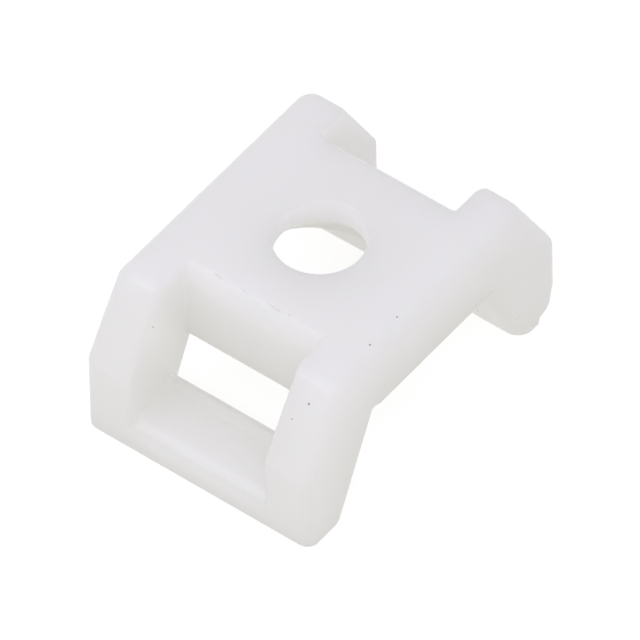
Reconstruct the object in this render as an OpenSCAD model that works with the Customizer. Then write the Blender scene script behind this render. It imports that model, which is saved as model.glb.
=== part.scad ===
// Saddle-type cable tie mount, screw fixed, one moulding.
// Units are millimetres and +Z is up. The part lies as it does on a table with
// its two end bars down and its mounting face up. X runs along the length, from
// one end bar to the other, and Y runs across. The origin is at the middle of
// the footprint, on the resting plane.

/* [Body] */
// Overall length, over the two ends
body_l = 15; // [12:0.5:30]
// Width across the feet, where the draft makes it widest
foot_w = 10.4; // [8:0.1:20]
// Width across the mounting face
face_w = 10.3; // [7.5:0.1:19.5]
// Height from the feet to the mounting face
body_h = 7; // [5.5:0.1:12]
// Height of the upright part of each end
end_h = 3.6; // [2.6:0.1:6]
// How far the upper part of each end leans back
end_lean = 1.9; // [1:0.05:4]
// Radius along the outer long edges of the mounting face
outer_r = 0.8; // [0.3:0.05:1.5]
// Radius on the outer upright edges and on the knee above them
corner_r = 0.5; // [0.2:0.05:1]
// Radius on the inner edges of the side walls
edge_r = 0.2; // [0.1:0.05:0.8]
// Radius across the two ends of the mounting face
end_r = 0.5; // [0.1:0.05:0.8]

/* [Strap path] */
// Widest strap that passes
strap_w = 4.8; // [2.4:0.1:9]
// Thickness allowed for the strap
strap_t = 1.3; // [0.8:0.1:2.2]
// Side play of the strap between the walls
strap_play = 1.4; // [0.4:0.1:2]
// Clearance over the strap's thickness where it passes a bar
strap_gap = 0.25; // [0.1:0.05:0.6]
// Length of the mounting face between the two end pockets
plate_l = 8.3; // [6:0.05:18]
// Thickness of the plate at its middle
plate_t = 2.6; // [1.6:0.05:4]
// How much lower the strap floor is at its ends than at its middle
floor_drop = 1; // [0.4:0.05:2]
// Radius on the two end edges of the plate
plate_edge_r = 0.45; // [0.1:0.05:1]

/* [End bars] */
// Width of an end bar at the bottom
bar_w = 2.2; // [1.2:0.05:4]
// How much lower the outer edge of a bar is than its bead
bar_fall = 0.45; // [0.2:0.05:1]
// Radius on the outer top edge of a bar
bar_edge_r = 0.45; // [0.2:0.05:0.8]
// Radius of the bead the strap bends round
bead_r = 0.24; // [0.15:0.01:0.5]

/* [Cradle] */
// Height of the cradle cut through the side walls
cradle_h = 4.15; // [2:0.05:6]
// How far each flank of the cradle runs in, going up
flank_run = 2.1; // [0.5:0.05:4]
// Radius in the two upper corners of the cradle
cradle_r = 0.2; // [0.1:0.05:1]
// Radius on the outer edges of the flanks
flank_edge_r = 0.65; // [0.2:0.05:1]

/* [Screw hole] */
// Diameter of the screw hole
hole_d = 3.5; // [2.6:0.1:6]
// Length of the straight part of the hole
hole_l = 1; // [0.5:0.05:2]
// Diameter of the countersink at the strap floor
sink_d = 6; // [4:0.1:10]

/* [Hidden] */
eps = 0.01;
lap = 0.6;
half_l = body_l / 2;
channel_w = strap_w + strap_play;
wall_in = channel_w / 2;
plate_half = plate_l / 2;
floor_mid_z = body_h - plate_t;
floor_end_z = floor_mid_z - floor_drop;
bar_h = floor_end_z - strap_t - strap_gap;
bar_outer_h = bar_h - bar_fall;
floor_r = (plate_half * plate_half + floor_drop * floor_drop) / (2 * floor_drop);
lean_a = atan(end_lean / (body_h - end_h));
bar_in_bot = half_l - bar_w;
bead_x = half_l - bar_w - 0.3;
bead_z = bar_h - bead_r;
cradle_bot = half_l - bar_w;
cradle_top = cradle_bot - flank_run;
flank_a = atan(flank_run / cradle_h);
draft_a = atan((foot_w - face_w) / 2 / body_h);

function wall_out(z) = foot_w / 2 - (foot_w - face_w) / 2 * z / body_h;
function arc(cx, cy, r, a0, a1, n) =
    [for (i = [0:n]) let (a = a0 + (a1 - a0) * i / n) [cx + r * cos(a), cy + r * sin(a)]];

// A flat outline in X and Z, drawn out along Y between two planes.
module across(y0, y1) {
    translate([0, y1, 0])
        rotate([90, 0, 0])
            linear_extrude(height = y1 - y0)
                children();
}

module upright_disc(x, y, r) {
    translate([x, y, 0])
        cylinder(r = r, h = eps, $fn = 40);
}

module ball(x, y, z, r) {
    translate([x, y, z])
        sphere(r = r, $fn = 40);
}

module long_rod(y, z, r, half) {
    translate([-half, y, z])
        rotate([0, 90, 0])
            cylinder(r = r, h = 2 * half, $fn = 40);
}

// One side wall before the cradle is cut: upright ends, ends leaning back above
// a rounded knee, drafted outer face, rounded edges.
module side_wall_blank() {
    yi = wall_in + edge_r;
    flat_half = half_l - end_lean - end_r * tan((90 - lean_a) / 2);
    past = end_r * sin(45);
    less = end_r * (1 - cos(45));
    oy = wall_out(body_h) - outer_r;
    oz = body_h - outer_r;
    iz = body_h - edge_r;
    hull() {
        long_rod(oy, oz, outer_r, flat_half);
        long_rod(oy, oz, outer_r - less, flat_half + past);
        long_rod(yi, iz, edge_r, flat_half);
        long_rod(yi, iz, edge_r - less, flat_half + past);
        for (s = [-1, 1]) {
            ball(s * (half_l - corner_r), wall_out(end_h) - corner_r, end_h - corner_r * tan(lean_a / 2), corner_r);
            ball(s * (half_l - edge_r), yi, end_h - edge_r * tan(lean_a / 2), edge_r);
            upright_disc(s * (half_l - corner_r), wall_out(0) - corner_r, corner_r);
            upright_disc(s * (half_l - edge_r), yi, edge_r);
        }
    }
}

// Rounds the outer edge of the flank on the +X, +Y leg.
module flank_edge_cut() {
    translate([cradle_bot, wall_out(0), 0])
        rotate([draft_a, 0, 0])
            rotate([0, -flank_a, 0])
                translate([0, 0, -1])
                    difference() {
                        translate([-1, -flank_edge_r, 0])
                            cube([1 + flank_edge_r, 1 + flank_edge_r, 1 + cradle_h / cos(flank_a)]);
                        translate([flank_edge_r, -flank_edge_r, -1])
                            cylinder(r = flank_edge_r, h = 3 + cradle_h / cos(flank_a), $fn = 48);
                    }
}

// Straight ceiling, leaning flanks, small radius where they meet.
module cradle_outline() {
    cz = cradle_h - cradle_r;
    cx = cradle_top - cradle_r * tan((90 - flank_a) / 2);
    out = flank_run / cradle_h;
    polygon(concat(
        [[-cradle_bot - out, -1], [cradle_bot + out, -1]],
        arc(cx, cz, cradle_r, flank_a, 90, 5),
        arc(-cx, cz, cradle_r, 90, 180 - flank_a, 5)
    ));
}

// Plate between the walls, its underside hollowed for the strap.
module plate() {
    z = body_h - plate_edge_r;
    x = plate_half - plate_edge_r;
    difference() {
        across(-wall_in - lap, wall_in + lap)
            polygon(concat(
                [[-plate_half, floor_end_z], [plate_half, floor_end_z]],
                arc(x, z, plate_edge_r, 0, 90, 6),
                arc(-x, z, plate_edge_r, 90, 180, 6)
            ));
        translate([0, wall_in + lap + 1, floor_mid_z - floor_r])
            rotate([90, 0, 0])
                cylinder(r = floor_r, h = channel_w + 2 * lap + 2, $fn = 180);
    }
}

// End bar on the +X side with the bead the strap bends round.
module end_bar() {
    xo = half_l - bar_edge_r;
    zo = bar_outer_h - bar_edge_r;
    rise = atan((bar_h - 0.2 - bar_outer_h) / (xo - bead_x));
    across(-wall_in - lap, wall_in + lap)
        polygon(concat(
            [[bar_in_bot, 0], [half_l, 0]],
            arc(xo, zo, bar_edge_r, 0, 90 - rise, 6),
            [[bead_x, bar_h - 0.2], [bead_x, bead_z]],
            [[bead_x - bead_r * 0.9, bead_z - 0.1]]
        ));
    translate([bead_x, wall_in + lap, bead_z])
        rotate([90, 0, 0])
            cylinder(r = bead_r, h = channel_w + 2 * lap, $fn = 32);
}

module screw_hole() {
    z1 = body_h - hole_l;
    translate([0, 0, z1 - eps])
        cylinder(d = hole_d, h = hole_l + 1, $fn = 96);
    translate([0, 0, floor_mid_z])
        cylinder(d1 = sink_d, d2 = hole_d, h = z1 - floor_mid_z, $fn = 96);
    translate([0, 0, floor_end_z - 0.5])
        cylinder(d = sink_d, h = floor_mid_z - floor_end_z + 0.5 + eps, $fn = 96);
}

module saddle_mount() {
    color([0.89, 0.89, 0.87])
    difference() {
        union() {
            difference() {
                union() {
                    side_wall_blank();
                    mirror([0, 1, 0])
                        side_wall_blank();
                }
                across(-foot_w, foot_w)
                    cradle_outline();
                for (sx = [0, 1], sy = [0, 1])
                    mirror([sx, 0, 0])
                        mirror([0, sy, 0])
                            flank_edge_cut();
            }
            plate();
            end_bar();
            mirror([1, 0, 0])
                end_bar();
        }
        screw_hole();
    }
}

saddle_mount();
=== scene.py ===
import math

import bpy
import numpy
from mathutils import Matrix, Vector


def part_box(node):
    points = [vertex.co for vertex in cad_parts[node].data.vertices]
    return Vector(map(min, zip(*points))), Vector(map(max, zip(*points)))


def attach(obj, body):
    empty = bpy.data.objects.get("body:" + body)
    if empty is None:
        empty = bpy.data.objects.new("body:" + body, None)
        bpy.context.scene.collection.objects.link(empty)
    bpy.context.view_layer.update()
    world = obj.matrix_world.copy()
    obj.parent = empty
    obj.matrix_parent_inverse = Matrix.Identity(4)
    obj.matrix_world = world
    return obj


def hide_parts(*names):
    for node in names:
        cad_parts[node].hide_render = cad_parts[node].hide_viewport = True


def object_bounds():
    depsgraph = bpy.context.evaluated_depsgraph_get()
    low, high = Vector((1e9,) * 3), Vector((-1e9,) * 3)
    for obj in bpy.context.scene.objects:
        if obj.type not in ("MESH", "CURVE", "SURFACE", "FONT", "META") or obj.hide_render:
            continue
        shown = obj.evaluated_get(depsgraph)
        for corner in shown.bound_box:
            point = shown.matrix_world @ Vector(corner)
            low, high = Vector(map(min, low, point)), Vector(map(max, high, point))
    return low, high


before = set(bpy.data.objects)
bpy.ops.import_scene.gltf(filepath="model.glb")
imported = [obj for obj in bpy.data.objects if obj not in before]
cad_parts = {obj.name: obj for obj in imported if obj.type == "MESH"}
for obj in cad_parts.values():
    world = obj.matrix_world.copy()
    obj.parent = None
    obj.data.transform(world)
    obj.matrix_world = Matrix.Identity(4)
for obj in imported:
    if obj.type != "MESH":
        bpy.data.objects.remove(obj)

import openvdb
from mathutils import Matrix, Vector

bl_info = {
    "name": "Cable tie mount",
    "version": (1, 0, 0),
    "blender": (4, 5, 0),
    "location": "3D View > Sidebar > Tie mount",
    "description": "Dresses a moulded saddle mount for cable ties and sets its stage",
    "category": "Object",
}

MM = 0.001
CAD_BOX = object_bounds()
NODE_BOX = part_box("saddle_mount")
HEIGHT = NODE_BOX[1][2]

# Specks moulded into the skin: place in mm, radius in mm.
SPECKS = (
    (-5.94, 3.10, 5.32, 0.040),
    (-6.06, -4.16, 6.14, 0.048),
    (-3.04, -4.63, 6.95, 0.040),
    (-1.39, -4.60, 6.96, 0.036),
    (4.74, -3.57, 1.10, 0.050),
    (-6.49, -3.70, 5.39, 0.028),
)

# Where the hairline shows: the middle of each dash and half its length, along the line, in mm.
DASHES = ((1.73, 0.22), (0.50, 0.18), (-0.95, 0.50))

# The length over which a dash fades out, in mm, and how much of the hairline is left between dashes.
DASH_FADE = 0.15
FAINT = 0.22

# The crest of the bead on an end bar: how far out it lies and how high.
BEAD_AT = 5.1 * MM
BEAD_TOP = 1.75 * MM

# The heights between which the top of an end bar lies.
BAR_LOW = 0.86 * MM
BAR_HIGH = 1.8 * MM

# The straight part of the hole: its radius, and the height of the middle of its wall.
HOLE_RADIUS = 1.75 * MM
HOLE_WALL_AT = HEIGHT - 0.55 * MM

# The cut corner of a foot sets in over the first length, which leaves its nib, and blends into the side over
# the second.
NIB_START = 0.05 * MM
SIDE_BLEND = 0.4 * MM

# Cells that a grid of distances holds beyond the surface that is taken from it.
SPARE_CELLS = 3.0

# Width of the camera's sensor, in mm.
SENSOR = 36


def srgb(code):
    """A linear RGBA colour from an sRGB hex value."""
    out = []
    for i in (0, 2, 4):
        c = int(code[i:i + 2], 16) / 255.0
        out.append(c / 12.92 if c <= 0.04045 else ((c + 0.055) / 1.055) ** 2.4)
    return (*out, 1.0)


def add(tree, kind, settings=None, links=None):
    """Adds a node. Settings name its properties or its inputs; links feed its inputs from other sockets."""
    node = tree.nodes.new(kind)
    for key, value in (settings or {}).items():
        if isinstance(key, str) and hasattr(node, key):
            setattr(node, key, value)
        else:
            node.inputs[key].default_value = value
    for key, source in (links or {}).items():
        tree.links.new(source, node.inputs[key])
    return node


def new_material(name):
    """An empty node material and its tree."""
    mat = bpy.data.materials.new(name)
    mat.use_nodes = True
    mat.node_tree.nodes.clear()
    return mat, mat.node_tree


def band(tree, value, middle, core, edge, full=None):
    """A mask that falls from full, or from 1, where a value lies within core of middle, to 0 at edge."""
    off = add(tree, "ShaderNodeMath", {"operation": "SUBTRACT", 1: middle}, {0: value}).outputs[0]
    off = add(tree, "ShaderNodeMath", {"operation": "ABSOLUTE"}, {0: off}).outputs[0]
    links = {"Value": off}
    if full is not None:
        links["To Min"] = full
    return add(
        tree, "ShaderNodeMapRange",
        {"From Min": core, "From Max": edge, "To Min": 1.0, "To Max": 0.0}, links,
    ).outputs["Result"]


def witness_lines(tree, place, line_at):
    """The broken hairline that the mould's insert leaves where the plate starts to fall away at one end.

    Returns how much the line shows at a point, and its depth.
    """
    split = add(tree, "ShaderNodeSeparateXYZ", None, {"Vector": place})
    whole = band(tree, split.outputs["Y"], 0.0, core=2.7 * MM, edge=3.0 * MM)
    dashed = add(tree, "ShaderNodeMath", {"operation": "MULTIPLY", 1: FAINT}, {0: whole}).outputs[0]
    for middle, half in DASHES:
        dash = band(tree, split.outputs["Y"], middle * MM, core=half * MM, edge=(half + DASH_FADE) * MM)
        dashed = add(tree, "ShaderNodeMath", {"operation": "MAXIMUM"}, {0: dashed, 1: dash}).outputs[0]
    on_top = band(tree, split.outputs["Z"], HEIGHT, core=0.1 * MM, edge=0.12 * MM, full=dashed)
    wobble = add(tree, "ShaderNodeTexNoise", {"Scale": 1 / (0.5 * MM), "Detail": 2.0}, {"Vector": place})
    stray = add(
        tree, "ShaderNodeMapRange",
        {"From Min": 0.3, "From Max": 0.7, "To Min": -0.035 * MM, "To Max": 0.035 * MM},
        {"Value": wobble.outputs["Fac"]},
    ).outputs["Result"]
    along = add(tree, "ShaderNodeMath", {"operation": "ADD"}, {0: split.outputs["X"], 1: stray}).outputs[0]
    depth = band(tree, along, -line_at, core=0.008 * MM, edge=0.035 * MM, full=on_top)
    broken = add(tree, "ShaderNodeTexNoise", {"Scale": 1 / (0.22 * MM), "Detail": 3.0}, {"Vector": place})
    dirt = add(
        tree, "ShaderNodeMapRange",
        {"From Min": 0.44, "From Max": 0.62, "To Min": 0.1, "To Max": 0.6},
        {"Value": broken.outputs["Fac"]},
    ).outputs["Result"]
    shows = add(tree, "ShaderNodeMath", {"operation": "MULTIPLY"}, {0: depth, 1: dirt}).outputs[0]
    return shows, depth


def bead_flash(tree, place):
    """The slightly rough skin on the beads of the end bars, where the mould shuts off the strap's slot."""
    split = add(tree, "ShaderNodeSeparateXYZ", None, {"Vector": place})
    along = add(tree, "ShaderNodeMath", {"operation": "ABSOLUTE"}, {0: split.outputs["X"]}).outputs[0]
    rough = add(
        tree, "ShaderNodeTexNoise", {"Scale": 1 / (0.28 * MM), "Detail": 2.0}, {"Vector": place},
    ).outputs["Fac"]
    on_crest = band(tree, split.outputs["Z"], BEAD_TOP, core=0.2 * MM, edge=0.35 * MM, full=rough)
    return band(tree, along, BEAD_AT, core=0.2 * MM, edge=0.4 * MM, full=on_crest)


def painted_hole_light(tree, place):
    """Mask of the hole's straight wall, whose colour is painted paler: painted light that makes the wall look
    as brightly lit as the plate around it.
    """
    split = add(tree, "ShaderNodeSeparateXYZ", None, {"Vector": place})
    flat = add(
        tree, "ShaderNodeVectorMath", {"operation": "MULTIPLY", 1: (1.0, 1.0, 0.0)}, {0: place},
    ).outputs[0]
    out = add(tree, "ShaderNodeVectorMath", {"operation": "LENGTH"}, {0: flat}).outputs["Value"]
    straight = band(tree, split.outputs["Z"], HOLE_WALL_AT, core=0.36 * MM, edge=0.50 * MM)
    return band(tree, out, HOLE_RADIUS, core=0.02 * MM, edge=0.08 * MM, full=straight)


def natural_nylon(look, line_at):
    """Natural nylon 6/6, injection moulded in a lightly textured tool.

    Milky and a little see-through: light spreads under the skin, so thin edges stay bright, hollows turn
    faintly warm and no shade is hard, while the textured skin keeps reflections broad and soft. The tool's
    texture is finer than the grain here, which is as coarse as it needs to be to show.
    """
    mat, tree = new_material("natural_nylon_moulded")
    place = add(tree, "ShaderNodeTexCoord").outputs["Object"]
    cloud = add(tree, "ShaderNodeTexNoise", {"Scale": 1 / (2.4 * MM), "Detail": 2.0}, {"Vector": place})
    tone = add(
        tree, "ShaderNodeMix",
        {"data_type": "RGBA", 6: srgb(look.body_tone), 7: srgb(look.cloud_tone)},
        {0: cloud.outputs["Fac"]},
    ).outputs[2]
    # Painted light: the hole's straight wall is mixed towards a paler tone, so it shows as bright as the
    # plate.
    tone = add(
        tree, "ShaderNodeMix", {"data_type": "RGBA", 7: srgb(look.hole_light_tone)},
        {0: painted_hole_light(tree, place), 6: tone},
    ).outputs[2]
    for x, y, z, r in SPECKS:
        away = add(
            tree, "ShaderNodeVectorMath",
            {"operation": "DISTANCE", 1: (x * MM, y * MM, z * MM)}, {0: place},
        )
        mark = add(
            tree, "ShaderNodeMapRange",
            {"From Min": 0.55 * r * MM, "From Max": 1.2 * r * MM, "To Min": 0.85, "To Max": 0.0},
            {"Value": away.outputs["Value"]},
        )
        tone = add(
            tree, "ShaderNodeMix", {"data_type": "RGBA", 7: srgb(look.speck_tone)},
            {0: mark.outputs["Result"], 6: tone},
        ).outputs[2]
    line, line_depth = witness_lines(tree, place, line_at)
    tone = add(
        tree, "ShaderNodeMix", {"data_type": "RGBA", 7: srgb(look.line_tone)}, {0: line, 6: tone}).outputs[2]
    swell = add(tree, "ShaderNodeTexNoise", {"Scale": 1 / (1.5 * MM), "Detail": 1.0}, {"Vector": place})
    grain = add(tree, "ShaderNodeTexNoise", {"Scale": 1 / (0.11 * MM), "Detail": 3.0}, {"Vector": place})
    broad = add(
        tree, "ShaderNodeBump", {"Strength": 0.6, "Distance": look.sink_depth},
        {"Height": swell.outputs["Fac"]},
    )
    skin = add(
        tree, "ShaderNodeBump", {"Strength": 0.5, "Distance": look.grain_depth},
        {"Height": grain.outputs["Fac"], "Normal": broad.outputs["Normal"]},
    )
    skin = add(
        tree, "ShaderNodeBump", {"Strength": 0.8, "Distance": 0.08 * MM},
        {"Height": bead_flash(tree, place), "Normal": skin.outputs["Normal"]},
    )
    skin = add(
        tree, "ShaderNodeBump", {"Strength": 0.7, "Distance": 0.03 * MM, "invert": True},
        {"Height": line_depth, "Normal": skin.outputs["Normal"]},
    )
    gloss = add(
        tree, "ShaderNodeMapRange", {"To Min": 0.34, "To Max": 0.40}, {"Value": cloud.outputs["Fac"]})
    shader = add(
        tree, "ShaderNodeBsdfPrincipled",
        {
            "IOR": 1.53,
            "Subsurface Weight": 0.9,
            "Subsurface Radius": (1.0, 0.95, 0.86),
            "Subsurface Scale": look.milk_depth,
        },
        {
            "Base Color": tone,
            "Roughness": gloss.outputs["Result"],
            "Normal": skin.outputs["Normal"],
        },
    )
    add(tree, "ShaderNodeOutputMaterial", None, {"Surface": shader.outputs["BSDF"]})
    return mat


def lit_card(look):
    """White card on a light table: matt, lit from behind, so shadows on it stay faint."""
    mat, tree = new_material("white_card_lit")
    place = add(tree, "ShaderNodeTexCoord").outputs["Object"]
    fibre = add(tree, "ShaderNodeTexNoise", {"Scale": 1 / (6 * MM), "Detail": 3.0}, {"Vector": place})
    tone = add(
        tree, "ShaderNodeMix",
        {"data_type": "RGBA", 6: srgb(look.card_tone), 7: srgb(look.card_fibre)},
        {0: fibre.outputs["Fac"]},
    )
    shader = add(
        tree, "ShaderNodeBsdfPrincipled",
        {
            "Roughness": 0.95,
            "Specular IOR Level": 0.1,
            "Emission Color": srgb("FFFFFF"),
            "Emission Strength": look.card_glow,
        },
        {"Base Color": tone.outputs[2]},
    )
    add(tree, "ShaderNodeOutputMaterial", None, {"Surface": shader.outputs["BSDF"]})
    return mat


def distances(points, faces, reach, cell):
    """A grid of distances to a closed mesh of triangles or quads, wide enough for a surface at that reach."""
    sides = "triangles" if faces.shape[1] == 3 else "quads"
    return openvdb.FloatGrid.createLevelSetFromPolygons(
        points.astype(numpy.float32),
        transform=openvdb.createLinearTransform(voxelSize=cell),
        halfWidth=abs(reach) / cell + SPARE_CELLS,
        **{sides: faces.astype(numpy.uint32)},
    )


def bevel_plate(points, shape):
    """Trims one end of the plate, between the side walls, to a curved bevel that starts on the hairline."""
    radius = shape.bevel_reach / (1 - math.sin(shape.bevel_tilt))
    centre = shape.bevel_at - radius * math.sin(shape.bevel_tilt)
    base = HEIGHT - radius * math.cos(shape.bevel_tilt)
    along = -points[:, 0]
    out = numpy.hypot(along - centre, points[:, 2] - base)
    on_end = (numpy.abs(points[:, 1]) < shape.bar_half) & (along > shape.bevel_at)
    on_end &= (along < shape.bevel_at + 2 * shape.bevel_reach) & (points[:, 2] > base) & (out > radius)
    pull = radius / out[on_end]
    points[on_end, 0] = -(centre + (along[on_end] - centre) * pull)
    points[on_end, 2] = base + (points[on_end, 2] - base) * pull


def bevel_bars(points, shape):
    """Trims the outer top of each end bar, between the side walls, to a bevel between two crisp lines.

    The bevel is part of a circle, and the end face below it gets steeper on its way down.
    """
    along = numpy.abs(points[:, 0])
    reach = shape.line_at - shape.curve_at
    radius = reach / (math.sin(shape.line_tilt) - math.sin(shape.curve_tilt))
    centre = shape.curve_at - radius * math.sin(shape.curve_tilt)
    base = shape.curve_height - radius * math.cos(shape.curve_tilt)
    curve = base + numpy.sqrt(numpy.maximum(radius ** 2 - (along - centre) ** 2, 0.0))
    line_height = base + radius * math.cos(shape.line_tilt)
    step = numpy.maximum(along - shape.line_at, 0.0)
    face_reach = CAD_BOX[1][0] - shape.line_at
    steeper = (math.tan(shape.face_end_tilt) - math.tan(shape.face_tilt)) / (2 * face_reach)
    face = line_height - step * math.tan(shape.face_tilt) - step ** 2 * steeper
    limit = numpy.where(along < shape.line_at, curve, face)
    on_bar = (numpy.abs(points[:, 1]) < shape.bar_half) & (along > shape.curve_at)
    on_bar &= (points[:, 2] > BAR_LOW) & (points[:, 2] < BAR_HIGH)
    points[on_bar, 2] = numpy.minimum(points[on_bar, 2], limit[on_bar])


def round_toe(points, shape):
    """Rounds the outer corner of one foot, where the moulding was cut from its runner.

    The round fades out up the foot and along its end, and leaves a small nib where it starts on the side.
    """
    x, y, z = points.T
    fade = numpy.clip((z - shape.toe_radius) / (shape.toe_top - shape.toe_radius), 0.0, 1.0)
    reach = shape.toe_reach + (shape.plain_corner - shape.toe_reach) * fade
    radius = shape.toe_radius + (shape.plain_corner - shape.toe_radius) * fade
    start_x = NODE_BOX[1][0] - reach
    start_y = NODE_BOX[0][1] + radius
    past_x = numpy.maximum(x - start_x, 0.0)
    past_y = numpy.maximum(start_y - y, 0.0)
    past_z = numpy.maximum(shape.toe_radius - z, 0.0)
    out = numpy.sqrt((past_x / reach) ** 2 + (past_y / radius) ** 2 + (past_z / shape.toe_radius) ** 2)
    share = numpy.clip((x - start_x) / NIB_START, 0.0, 1.0)
    share *= numpy.clip((start_y - y) / SIDE_BLEND + 1, 0.0, 1.0)
    pull = numpy.where(out > 1, 1 - 1 / numpy.maximum(out, 1.0), 0.0) * share
    points[:, 0] -= past_x * pull
    points[:, 1] += past_y * pull
    points[:, 2] += past_z * pull


def eased_mesh(node, shape):
    """A node's shape with the small radii a mould leaves: first on its edges, then in its corners."""
    evaluated = node.evaluated_get(bpy.context.evaluated_depsgraph_get())
    source = evaluated.to_mesh()
    source.calc_loop_triangles()
    points = numpy.empty(len(source.vertices) * 3)
    source.vertices.foreach_get("co", points)
    points = points.reshape(-1, 3)
    faces = numpy.empty(len(source.loop_triangles) * 3, dtype=numpy.int32)
    source.loop_triangles.foreach_get("vertices", faces)
    faces = faces.reshape(-1, 3)
    evaluated.to_mesh_clear()
    turn = numpy.array(node.matrix_world)
    points = points @ turn[:3, :3].T + turn[:3, 3]
    for reach in (-shape.edge_radius, shape.edge_radius + shape.corner_radius):
        points, faces = distances(points, faces, reach, shape.cell).convertToQuads(reach)
    last = distances(points, faces, shape.corner_radius, shape.cell)
    points, triangles, quads = last.convertToPolygons(-shape.corner_radius, shape.merge)
    points = numpy.clip(points, NODE_BOX[0], NODE_BOX[1])
    bevel_plate(points, shape)
    bevel_bars(points, shape)
    round_toe(points, shape)
    mesh = bpy.data.meshes.new("moulding")
    mesh.from_pydata(points.tolist(), [], triangles[:, ::-1].tolist() + quads[:, ::-1].tolist())
    mesh.validate()
    mesh.shade_smooth()
    return mesh


def flat_card(look):
    """The lit card that the part stands on, wide enough to fill every view."""
    half = 1.5
    mesh = bpy.data.meshes.new("card")
    mesh.from_pydata(
        [(-half, -half, 0), (half, -half, 0), (half, half, 0), (-half, half, 0)], [], [(0, 1, 2, 3)])
    mesh.materials.append(lit_card(look))
    return bpy.data.objects.new("card", mesh)


def light_tent(stage):
    """The white tent around the part: faintly cool above and warm below, where the table sends light up."""
    world = bpy.data.worlds.new("light_tent")
    world.use_nodes = True
    tree = world.node_tree
    tree.nodes.clear()
    way = add(tree, "ShaderNodeTexCoord").outputs["Generated"]
    rise = add(tree, "ShaderNodeSeparateXYZ", None, {"Vector": way}).outputs["Z"]
    tint = add(
        tree, "ShaderNodeMix", {"data_type": "RGBA", 6: srgb("FFFDF7"), 7: srgb("EFEDFF")}, {0: rise})
    level = add(
        tree, "ShaderNodeMapRange",
        {"From Min": -0.12, "From Max": 0.0, "To Min": stage.bounce, "To Max": stage.tent},
        {"Value": rise},
    )
    back = add(
        tree, "ShaderNodeBackground", None,
        {"Color": tint.outputs[2], "Strength": level.outputs["Result"]},
    )
    add(tree, "ShaderNodeOutputWorld", None, {"Surface": back.outputs["Background"]})
    return world


def softbox(name, place, size, power, tint):
    """A round softbox that faces the part."""
    data = bpy.data.lights.new(name, "AREA")
    data.shape = "DISK"
    data.size = size
    data.energy = power
    data.color = srgb(tint)[:3]
    lamp = bpy.data.objects.new(name, data)
    lamp.location = place
    lamp.rotation_euler = (-lamp.location).to_track_quat("-Z", "Y").to_euler()
    return lamp


def aimed_camera(stage):
    """The camera, which looks at the middle of the part and holds it off centre by the stage's shift."""
    turn, tilt, roll = stage.turn, stage.tilt, stage.roll
    ahead = Vector((
        math.cos(tilt) * math.cos(turn), math.cos(tilt) * math.sin(turn), -math.sin(tilt)))
    level = Vector((math.sin(turn), -math.cos(turn), 0))
    above = level.cross(ahead)
    right = level * math.cos(roll) - above * math.sin(roll)
    up = level * math.sin(roll) + above * math.cos(roll)
    aim = Vector((0, 0, HEIGHT / 2)) - right * stage.shift[0] - up * stage.shift[1]
    place = Matrix((right, up, -ahead)).transposed().to_4x4()
    place.translation = aim - ahead * stage.distance
    data = bpy.data.cameras.new("camera")
    data.sensor_width = SENSOR
    data.lens = SENSOR * stage.distance / stage.view_width
    data.clip_start = 0.01
    camera = bpy.data.objects.new("camera", data)
    camera.matrix_world = place
    return camera


class TieMountShape(bpy.types.PropertyGroup):
    edge_radius: bpy.props.FloatProperty(
        name="Edge radius", description="Smallest radius on an outer edge",
        default=0.05 * MM, unit="LENGTH", precision=5)
    corner_radius: bpy.props.FloatProperty(
        name="Corner radius", description="Smallest radius in an inner corner",
        default=0.06 * MM, unit="LENGTH", precision=5)
    cell: bpy.props.FloatProperty(
        name="Cell", description="Size of the cells that the radii are worked out in",
        default=0.065 * MM, unit="LENGTH", precision=6)
    merge: bpy.props.FloatProperty(
        name="Merge", description="How freely cells on flat faces are joined into larger ones", default=0.002)
    bar_half: bpy.props.FloatProperty(
        name="Bar half length", description="Half the length of an end bar between the side walls",
        default=3.06 * MM, unit="LENGTH", precision=5)
    bevel_at: bpy.props.FloatProperty(
        name="Bevel start", description="Where one end of the plate starts to fall away, from the middle",
        default=3.70 * MM, unit="LENGTH", precision=5)
    bevel_reach: bpy.props.FloatProperty(
        name="Bevel reach", description="How far the bevel of the plate goes before it is upright",
        default=0.45 * MM, unit="LENGTH", precision=5)
    bevel_tilt: bpy.props.FloatProperty(
        name="Bevel tilt", description="Slope of the bevel of the plate where it starts",
        default=math.radians(34), subtype="ANGLE")
    curve_at: bpy.props.FloatProperty(
        name="Curve start", description="Where an end bar turns down on a crisp line, from the middle",
        default=7.02 * MM, unit="LENGTH", precision=5)
    curve_tilt: bpy.props.FloatProperty(
        name="Curve tilt", description="Slope of the curve where it starts",
        default=math.radians(30), subtype="ANGLE")
    curve_height: bpy.props.FloatProperty(
        name="Curve height", description="Height of the bar where the curve starts",
        default=1.406 * MM, unit="LENGTH", precision=5)
    line_at: bpy.props.FloatProperty(
        name="Line", description="Where the curve ends on a second line, from the middle",
        default=7.35 * MM, unit="LENGTH", precision=5)
    line_tilt: bpy.props.FloatProperty(
        name="Line tilt", description="Slope that the curve has reached at the line",
        default=math.radians(42), subtype="ANGLE")
    face_tilt: bpy.props.FloatProperty(
        name="Face tilt", description="Slope just below the line",
        default=math.radians(52), subtype="ANGLE")
    face_end_tilt: bpy.props.FloatProperty(
        name="Face end tilt", description="Slope where the end face of the bar becomes upright",
        default=math.radians(63), subtype="ANGLE")
    toe_reach: bpy.props.FloatProperty(
        name="Toe reach", description="How far along the foot the round of its cut corner goes",
        default=1.2 * MM, unit="LENGTH", precision=5)
    toe_radius: bpy.props.FloatProperty(
        name="Toe radius", description="Radius of the cut corner across the foot and up it",
        default=0.52 * MM, unit="LENGTH", precision=5)
    toe_top: bpy.props.FloatProperty(
        name="Toe top", description="Height at which the foot has its plain corner again",
        default=1.4 * MM, unit="LENGTH", precision=5)
    plain_corner: bpy.props.FloatProperty(
        name="Plain corner", description="Radius of the upright corners of the feet",
        default=0.5 * MM, unit="LENGTH", precision=5)


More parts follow.
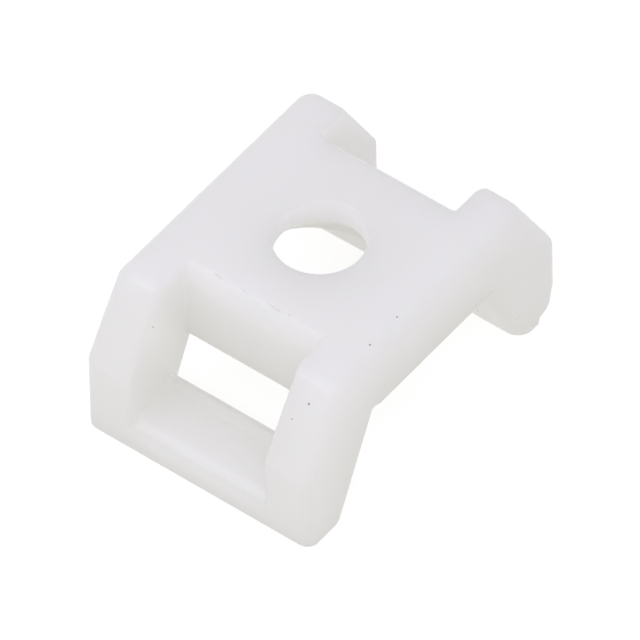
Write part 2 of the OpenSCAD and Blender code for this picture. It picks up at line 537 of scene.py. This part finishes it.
class TieMountLook(bpy.types.PropertyGroup):
    body_tone: bpy.props.StringProperty(
        name="Body tone", description="sRGB hex colour of the moulding", default="EFEFE9")
    cloud_tone: bpy.props.StringProperty(
        name="Cloud tone", description="sRGB hex colour of the denser clouds in the nylon", default="EDECE3")
    # Paler colour for the hole's straight wall: painted light, not a colour of the nylon.
    hole_light_tone: bpy.props.StringProperty(
        name="Pin tone", description="sRGB hex colour of the hole's wall", default="F6F5F0")
    speck_tone: bpy.props.StringProperty(
        name="Speck tone", description="sRGB hex colour of the specks in the skin", default="54504A")
    line_tone: bpy.props.StringProperty(
        name="Line tone", description="sRGB hex colour of the mould's hairline", default="B4B2A6")
    sink_depth: bpy.props.FloatProperty(
        name="Sink depth", description="Depth of the broad unevenness of the moulded faces",
        default=0.02 * MM, unit="LENGTH", precision=6)
    grain_depth: bpy.props.FloatProperty(
        name="Grain depth", description="Depth of the tool's fine texture",
        default=0.007 * MM, unit="LENGTH", precision=6)
    milk_depth: bpy.props.FloatProperty(
        name="Milk depth", description="How far light spreads under the skin",
        default=9.0 * MM, unit="LENGTH", precision=5)
    card_tone: bpy.props.StringProperty(
        name="Card tone", description="sRGB hex colour of the card", default="949494")
    card_fibre: bpy.props.StringProperty(
        name="Card fibre", description="sRGB hex colour of the fibres in the card", default="979796")
    card_glow: bpy.props.FloatProperty(
        name="Card glow", description="Light that comes through the card", default=0.78)


class TieMountStage(bpy.types.PropertyGroup):
    turn: bpy.props.FloatProperty(
        name="Camera turn", description="Camera's direction in plan, from +X towards +Y",
        default=math.radians(38.59), subtype="ANGLE")
    tilt: bpy.props.FloatProperty(
        name="Camera tilt", description="How far the camera looks down",
        default=math.radians(48.24), subtype="ANGLE")
    roll: bpy.props.FloatProperty(
        name="Camera roll", description="Camera's roll about its own axis",
        default=math.radians(1.30), subtype="ANGLE")
    distance: bpy.props.FloatProperty(
        name="Camera distance", description="From the camera to the middle of the part",
        default=0.5033, unit="LENGTH")
    view_width: bpy.props.FloatProperty(
        name="View width", description="Width of the view at the part",
        default=23.387 * MM, unit="LENGTH", precision=5)
    shift: bpy.props.FloatVectorProperty(
        name="Shift", description="Where the middle of the part lies in the view, right and up of its centre",
        size=2, default=(0.0448 * MM, 0.6945 * MM), unit="LENGTH", precision=6)
    tent: bpy.props.FloatProperty(
        name="Tent light", description="Brightness of the white tent around the part", default=0.78)
    bounce: bpy.props.FloatProperty(
        name="Bounce light", description="Brightness of the light that comes up from the table", default=0.66)
    side: bpy.props.FloatProperty(
        name="Side light", description="Power of the softbox on the left", default=0.27, unit="POWER")
    front: bpy.props.FloatProperty(
        name="Front light", description="Power of the softbox round the camera",
        default=0.48, unit="POWER")


class BuildMoulding(bpy.types.Operator):
    """Builds the moulding with soft edges and blended corners, and stands it in for the plain solid"""

    bl_idname = "tie_mount.mould"
    bl_label = "Build the moulding"

    def execute(self, context):
        shape = context.scene.tie_mount_shape
        mesh = eased_mesh(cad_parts["saddle_mount"], shape)
        if len(mesh.polygons) == 0:
            raise RuntimeError("the moulding has no faces")
        mesh.materials.append(natural_nylon(context.scene.tie_mount_look, shape.bevel_at))
        piece = bpy.data.objects.new("moulded_saddle", mesh)
        context.scene.collection.objects.link(piece)
        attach(piece, "root")
        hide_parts("saddle_mount")
        return {"FINISHED"}


class SetStage(bpy.types.Operator):
    """Adds the lit card, the light tent, the two softboxes and the camera"""

    bl_idname = "tie_mount.stage"
    bl_label = "Set the stage"

    def execute(self, context):
        scene = context.scene
        stage = scene.tie_mount_stage
        card = flat_card(scene.tie_mount_look)
        left = softbox("softbox_left", (-0.26, 0.21, 0.375), size=0.24, power=stage.side, tint="F4F2FF")
        front = softbox("softbox_front", (-0.28, -0.22, 0.36), size=0.30, power=stage.front, tint="F1EFFF")
        camera = aimed_camera(stage)
        for thing in (card, left, front, camera):
            scene.collection.objects.link(thing)
        card.visible_diffuse = False
        scene.camera = camera
        scene.world = light_tent(stage)
        scene.view_settings.view_transform = "Standard"
        scene.view_settings.look = "None"
        return {"FINISHED"}


class TieMountPanel(bpy.types.Panel):
    """Lists the steps and their settings"""

    bl_idname = "VIEW3D_PT_tie_mount"
    bl_label = "Tie mount"
    bl_space_type = "VIEW_3D"
    bl_region_type = "UI"
    bl_category = "Tie mount"

    def draw(self, context):
        layout = self.layout
        for group, step in (("shape", None), ("look", "tie_mount.mould"), ("stage", "tie_mount.stage")):
            props = getattr(context.scene, "tie_mount_" + group)
            box = layout.box()
            for name in type(props).__annotations__:
                box.prop(props, name)
            if step:
                box.operator(step)


GROUPS = {"shape": TieMountShape, "look": TieMountLook, "stage": TieMountStage}
CLASSES = (*GROUPS.values(), BuildMoulding, SetStage, TieMountPanel)


def register():
    for cls in CLASSES:
        bpy.utils.register_class(cls)
    for name, cls in GROUPS.items():
        setattr(bpy.types.Scene, "tie_mount_" + name, bpy.props.PointerProperty(type=cls))


def unregister():
    for name in GROUPS:
        delattr(bpy.types.Scene, "tie_mount_" + name)
    for cls in reversed(CLASSES):
        bpy.utils.unregister_class(cls)


def main():
    register()
    bpy.ops.tie_mount.mould()
    bpy.ops.tie_mount.stage()


if __name__ == "__main__":
    main()
